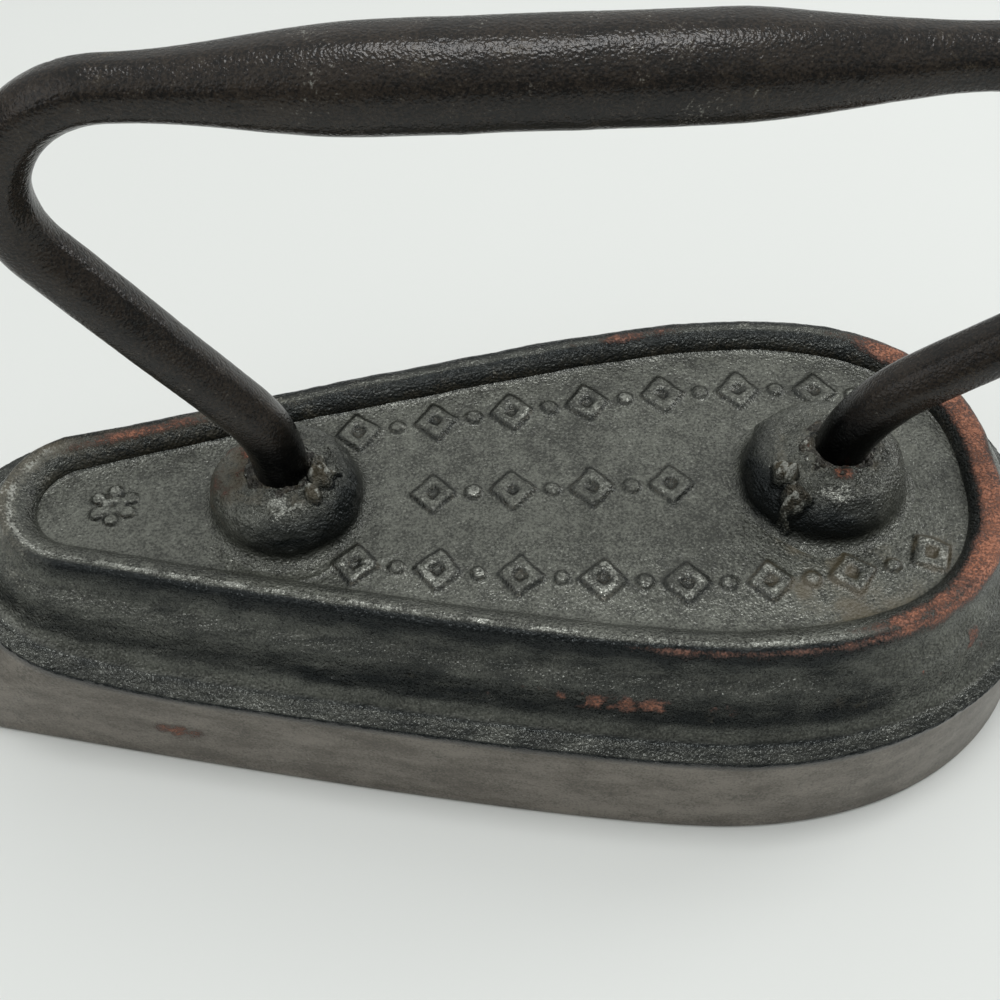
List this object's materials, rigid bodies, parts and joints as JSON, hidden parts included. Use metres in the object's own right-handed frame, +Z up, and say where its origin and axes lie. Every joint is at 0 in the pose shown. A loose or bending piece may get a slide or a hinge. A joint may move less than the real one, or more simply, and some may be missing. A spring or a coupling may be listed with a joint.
{
  "type": "sleeve iron",
  "caption": "Narrow cast-iron sleeve iron with a round heel, a slanting toe, a raised rim round a sunk deck and a bent bar handle set in bosses.",
  "frame": {"origin": "on the sole, under the middle of the whole iron", "axes": "+Z up, the toe towards -X, the heel towards +X; the middle plane is Y = 0"},
  "size_m": [0.178, 0.0796, 0.1112],
  "materials": {
    "cast_body": "old cast iron, worn, with rust on the rim",
    "forged_bar": "dark forged bar, smooth from use",
    "run_in_metal": "crumbly, rusted"
  },
  "bodies": {
    "root": {"body_casting": "cast_body", "handle_bar": "forged_bar", "front_socket_fill": "run_in_metal", "rear_socket_fill": "run_in_metal"}
  },
  "joints": []
}
